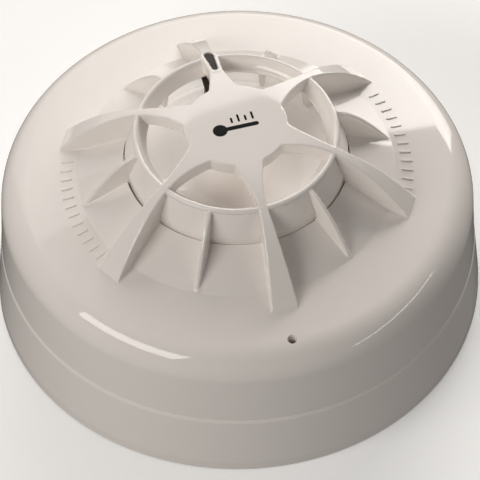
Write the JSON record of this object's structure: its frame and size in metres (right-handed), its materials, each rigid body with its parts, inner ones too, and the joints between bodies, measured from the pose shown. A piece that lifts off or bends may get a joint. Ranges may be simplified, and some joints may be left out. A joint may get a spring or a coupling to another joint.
{
  "type": "heat detector",
  "caption": "Round ceiling heat detector: screw-fixed base with terminals and a twist-on head with an open cage of arms, fins and a ring over its thermistor.",
  "frame": {"origin": "centre of the base's back face, on the wall or ceiling", "axes": "+Z away from the mounting surface, through the star plate's centre; the front cage arm points along -Y and the status light's arm along +Y"},
  "size_m": [0.1, 0.1, 0.0496],
  "materials": {
    "cover_white": "glossy warm off-white polycarbonate",
    "board_green": "solder-resist green",
    "bead_black": "epoxy-coated bead",
    "smoked_plastic": "smoked light-guide plastic",
    "led_red": "clear red epoxy",
    "chip_black": "moulded epoxy",
    "capacitor_blue": "sleeved can",
    "component_tan": "ceramic body",
    "spring_steel": "stainless spring strip",
    "plated_steel": "zinc-plated"
  },
  "bodies": {
    "base": {"base_moulding": "cover_white", "contact_wipe_1": "spring_steel", "contact_wipe_2": "spring_steel", "contact_wipe_3": "spring_steel", "contact_wipe_4": "spring_steel", "earth_plate": "spring_steel"},
    "head": {"outer_cover": "cover_white", "sensor_bowl": "cover_white", "rear_case": "cover_white", "circuit_board": "board_green", "head_contact_1": "spring_steel", "head_contact_2": "spring_steel", "head_contact_3": "spring_steel", "head_contact_4": "spring_steel", "thermistor_bead": "bead_black", "thermistor_leads": "spring_steel", "light_pipe": "smoked_plastic", "status_led": "led_red", "microcontroller": "chip_black", "storage_capacitor": "capacitor_blue", "surface_mount_parts": "component_tan", "case_screws": "plated_steel"},
    "lock": {"locking_screw": "plated_steel"},
    "clamp_1": {"terminal_clamp_1": "plated_steel"},
    "screw_1": {"terminal_screw_1": "plated_steel"},
    "clamp_2": {"terminal_clamp_2": "plated_steel"},
    "screw_2": {"terminal_screw_2": "plated_steel"},
    "clamp_3": {"terminal_clamp_3": "plated_steel"},
    "screw_3": {"terminal_screw_3": "plated_steel"},
    "clamp_4": {"terminal_clamp_4": "plated_steel"},
    "screw_4": {"terminal_screw_4": "plated_steel"},
    "clamp_5": {"terminal_clamp_5": "plated_steel"},
    "screw_5": {"terminal_screw_5": "plated_steel"}
  },
  "joints": [
    {"name": "head_twist", "type": "hinge", "parent": "base", "child": "head", "pos_m": [0, 0, 0.013], "axis": [0, 0, 1], "range_deg": [0, 20]},
    {"name": "clamp_1_lift", "type": "slide", "parent": "base", "child": "clamp_1", "axis": [0, 0, 1], "range_m": [0, 0.002]},
    {"name": "screw_1_turn", "type": "hinge", "parent": "clamp_1", "child": "screw_1", "pos_m": [0.02334, 0.02334, 0.0072], "axis": [0, 0, 1], "range_deg": [0, 1200]},
    {"name": "clamp_2_lift", "type": "slide", "parent": "base", "child": "clamp_2", "axis": [0, 0, 1], "range_m": [0, 0.002]},
    {"name": "screw_2_turn", "type": "hinge", "parent": "clamp_2", "child": "screw_2", "pos_m": [-0.02334, 0.02334, 0.0072], "axis": [0, 0, 1], "range_deg": [0, 1200]},
    {"name": "clamp_3_lift", "type": "slide", "parent": "base", "child": "clamp_3", "axis": [0, 0, 1], "range_m": [0, 0.002]},
    {"name": "screw_3_turn", "type": "hinge", "parent": "clamp_3", "child": "screw_3", "pos_m": [-0.02334, -0.02334, 0.0072], "axis": [0, 0, 1], "range_deg": [0, 1200]},
    {"name": "clamp_4_lift", "type": "slide", "parent": "base", "child": "clamp_4", "axis": [0, 0, 1], "range_m": [0, 0.002]},
    {"name": "screw_4_turn", "type": "hinge", "parent": "clamp_4", "child": "screw_4", "pos_m": [0.02334, -0.02334, 0.0072], "axis": [0, 0, 1], "range_deg": [0, 1200]},
    {"name": "clamp_5_lift", "type": "slide", "parent": "base", "child": "clamp_5", "axis": [0, 0, 1], "range_m": [0, 0.002]},
    {"name": "screw_5_turn", "type": "hinge", "parent": "clamp_5", "child": "screw_5", "pos_m": [0, 0.033, 0.0072], "axis": [0, 0, 1], "range_deg": [0, 1200]},
    {"name": "lock_screw_travel", "type": "slide", "parent": "head", "child": "lock", "axis": [0, 0, -1], "range_m": [0, 0.004]}
  ],
  "couplings": [
    {"joint": "screw_1_turn", "follows": "clamp_1_lift", "rad_per_m": 10471},
    {"joint": "screw_2_turn", "follows": "clamp_2_lift", "rad_per_m": 10471},
    {"joint": "screw_3_turn", "follows": "clamp_3_lift", "rad_per_m": 10471},
    {"joint": "screw_4_turn", "follows": "clamp_4_lift", "rad_per_m": 10471},
    {"joint": "screw_5_turn", "follows": "clamp_5_lift", "rad_per_m": 10471}
  ]
}
